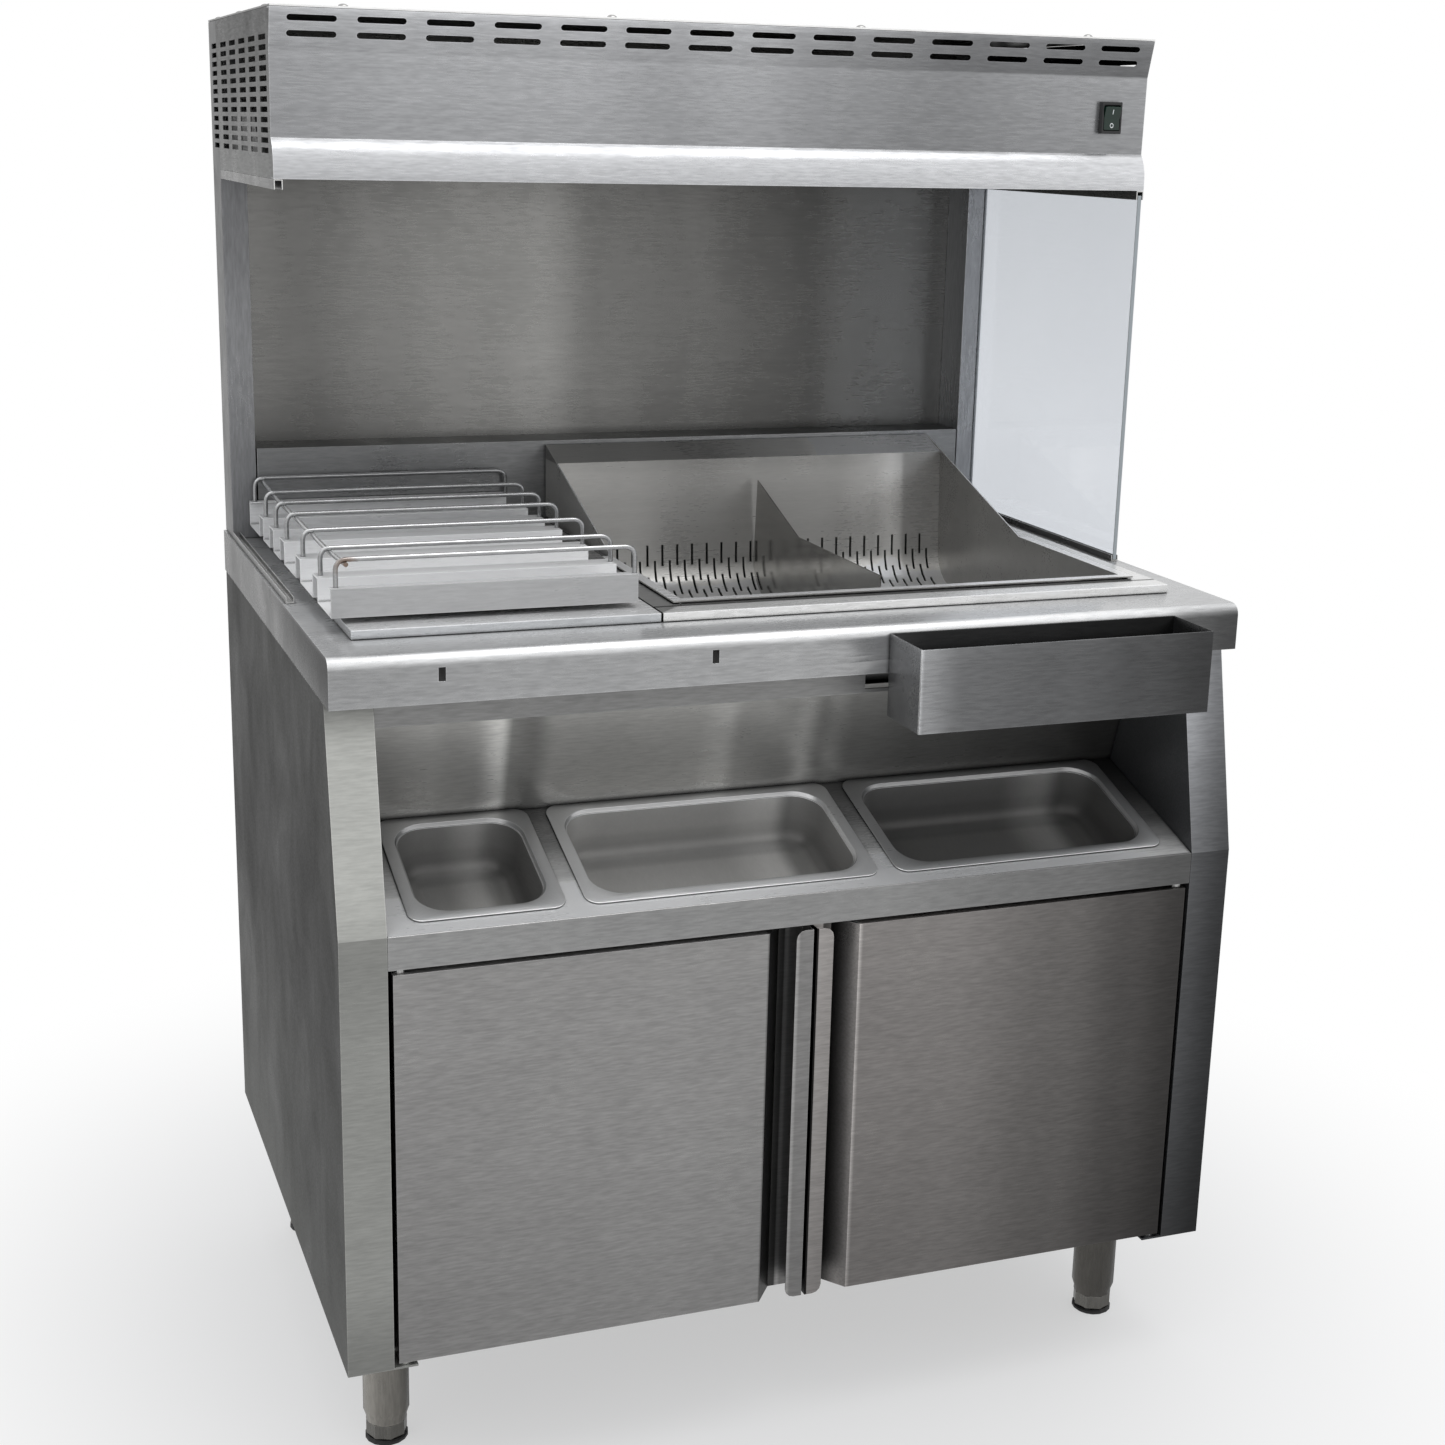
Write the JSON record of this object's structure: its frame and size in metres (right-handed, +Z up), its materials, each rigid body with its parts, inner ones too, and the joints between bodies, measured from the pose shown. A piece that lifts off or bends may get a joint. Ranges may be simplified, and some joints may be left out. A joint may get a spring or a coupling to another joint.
{
  "type": "french fry dump station",
  "caption": "Free-standing stainless counter with a heated canopy, a perforated dump tray with a divider, a fry rack, tilted pans, a hanging bin and a cabinet with doors.",
  "frame": {"origin": "on the floor, under the middle of the station's box, whose front is the hanging bin's front", "axes": "+X to the right seen from the front, +Y towards the back, +Z up; the operator stands at -Y"},
  "size_m": [1, 0.778, 1.5],
  "materials": {
    "brushed_steel": "stainless sheet, brushed along its length",
    "inner_steel": "stainless sheet inside the cabinet, dull and shaded",
    "satin_steel": "satin stainless, drawn or turned",
    "pale_steel": "light satin stainless sheet",
    "wire_steel": "polished stainless wire, slightly heat tinted at the welds",
    "black_plastic": "moulded, matt",
    "green_plastic": "moulded, translucent green when lit",
    "pale_glass": "toughened clear glass with ground edges",
    "quartz": "frosted quartz sheath"
  },
  "bodies": {
    "station": {"cabinet_back_panel": "inner_steel", "cabinet_floor": "inner_steel", "cable_gland": "black_plastic", "canopy_base": "satin_steel", "canopy_hood": "brushed_steel", "canopy_left_end": "brushed_steel", "canopy_right_end": "brushed_steel", "canopy_top_cover": "brushed_steel", "door_catch": "black_plastic", "front_heater_tube": "quartz", "front_left_leg": "brushed_steel", "front_right_leg": "brushed_steel", "heater_guard": "wire_steel", "left_lower_glass_rail": "brushed_steel", "left_post": "brushed_steel", "left_side_panel": "brushed_steel", "left_upper_glass_rail": "brushed_steel", "pan_shelf": "brushed_steel", "rack_base_plate": "brushed_steel", "rear_heater_tube": "quartz", "rear_left_leg": "brushed_steel", "rear_panel": "inner_steel", "rear_right_leg": "brushed_steel", "rear_upstand": "brushed_steel", "recess_back_wall": "inner_steel", "right_lower_glass_rail": "brushed_steel", "right_post": "brushed_steel", "right_side_panel": "brushed_steel", "right_upper_glass_rail": "brushed_steel", "scuttle_frame": "brushed_steel", "scuttle_well": "inner_steel", "switch_housing": "black_plastic", "under_worktop_rail": "inner_steel", "worktop": "brushed_steel"},
    "left_door": {"left_door": "brushed_steel", "left_door_inner_skin": "inner_steel", "left_door_lower_pivot": "satin_steel", "left_door_upper_pivot": "satin_steel"},
    "right_door": {"right_door": "brushed_steel", "right_door_inner_skin": "inner_steel", "right_door_lower_pivot": "satin_steel", "right_door_upper_pivot": "satin_steel"},
    "left_pan": {"pan_sixth_left": "satin_steel"},
    "middle_pan": {"pan_third_middle": "satin_steel"},
    "right_pan": {"pan_third_right": "satin_steel"},
    "bin": {"hanging_bin": "brushed_steel"},
    "rack": {"fry_rack": "pale_steel", "rack_wire_guards": "wire_steel"},
    "tray": {"dump_tray": "brushed_steel"},
    "divider": {"tray_divider": "brushed_steel"},
    "side_glass": {"right_side_glass": "pale_glass"},
    "rocker": {"switch_rocker": "green_plastic"},
    "front_left_foot": {"front_left_foot": "satin_steel", "front_left_foot_pad": "black_plastic"},
    "front_right_foot": {"front_right_foot": "satin_steel", "front_right_foot_pad": "black_plastic"},
    "rear_left_foot": {"rear_left_foot": "satin_steel", "rear_left_foot_pad": "black_plastic"},
    "rear_right_foot": {"rear_right_foot": "satin_steel", "rear_right_foot_pad": "black_plastic"}
  },
  "joints": [
    {"name": "left_door_hinge", "type": "hinge", "parent": "station", "child": "left_door", "pos_m": [-0.439, -0.323, 0.37], "axis": [0, 0, -1], "range_deg": [0, 100]},
    {"name": "right_door_hinge", "type": "hinge", "parent": "station", "child": "right_door", "pos_m": [0.439, -0.323, 0.37], "axis": [0, 0, 1], "range_deg": [0, 100]},
    {"name": "left_pan_lift", "type": "slide", "parent": "station", "child": "left_pan", "axis": [0, -0.299, 0.9542], "range_m": [0, 0.075]},
    {"name": "middle_pan_lift", "type": "slide", "parent": "station", "child": "middle_pan", "axis": [0, -0.299, 0.9542], "range_m": [0, 0.075]},
    {"name": "right_pan_lift", "type": "slide", "parent": "station", "child": "right_pan", "axis": [0, -0.299, 0.9542], "range_m": [0, 0.075]},
    {"name": "bin_lift", "type": "slide", "parent": "station", "child": "bin", "axis": [0, 0, 1], "range_m": [0, 0.008]},
    {"name": "rack_lift", "type": "slide", "parent": "station", "child": "rack", "axis": [0, 0, 1], "range_m": [0, 0.06]},
    {"name": "tray_lift", "type": "slide", "parent": "station", "child": "tray", "axis": [0, 0, 1], "range_m": [0, 0.15]},
    {"name": "divider_lift", "type": "slide", "parent": "tray", "child": "divider", "axis": [0, 0, 1], "range_m": [0, 0.1]},
    {"name": "side_glass_slide", "type": "slide", "parent": "station", "child": "side_glass", "axis": [0, -1, 0], "range_m": [0, 0.38]},
    {"name": "rocker_pivot", "type": "hinge", "parent": "station", "child": "rocker", "pos_m": [0.4505, -0.05, 1.413], "axis": [-1, 0, 0], "range_deg": [0, 14]},
    {"name": "front_left_foot_thread", "type": "slide", "parent": "station", "child": "front_left_foot", "axis": [0, 0, -1], "range_m": [0, 0.03]},
    {"name": "front_right_foot_thread", "type": "slide", "parent": "station", "child": "front_right_foot", "axis": [0, 0, -1], "range_m": [0, 0.03]},
    {"name": "rear_left_foot_thread", "type": "slide", "parent": "station", "child": "rear_left_foot", "axis": [0, 0, -1], "range_m": [0, 0.03]},
    {"name": "rear_right_foot_thread", "type": "slide", "parent": "station", "child": "rear_right_foot", "axis": [0, 0, -1], "range_m": [0, 0.03]}
  ]
}
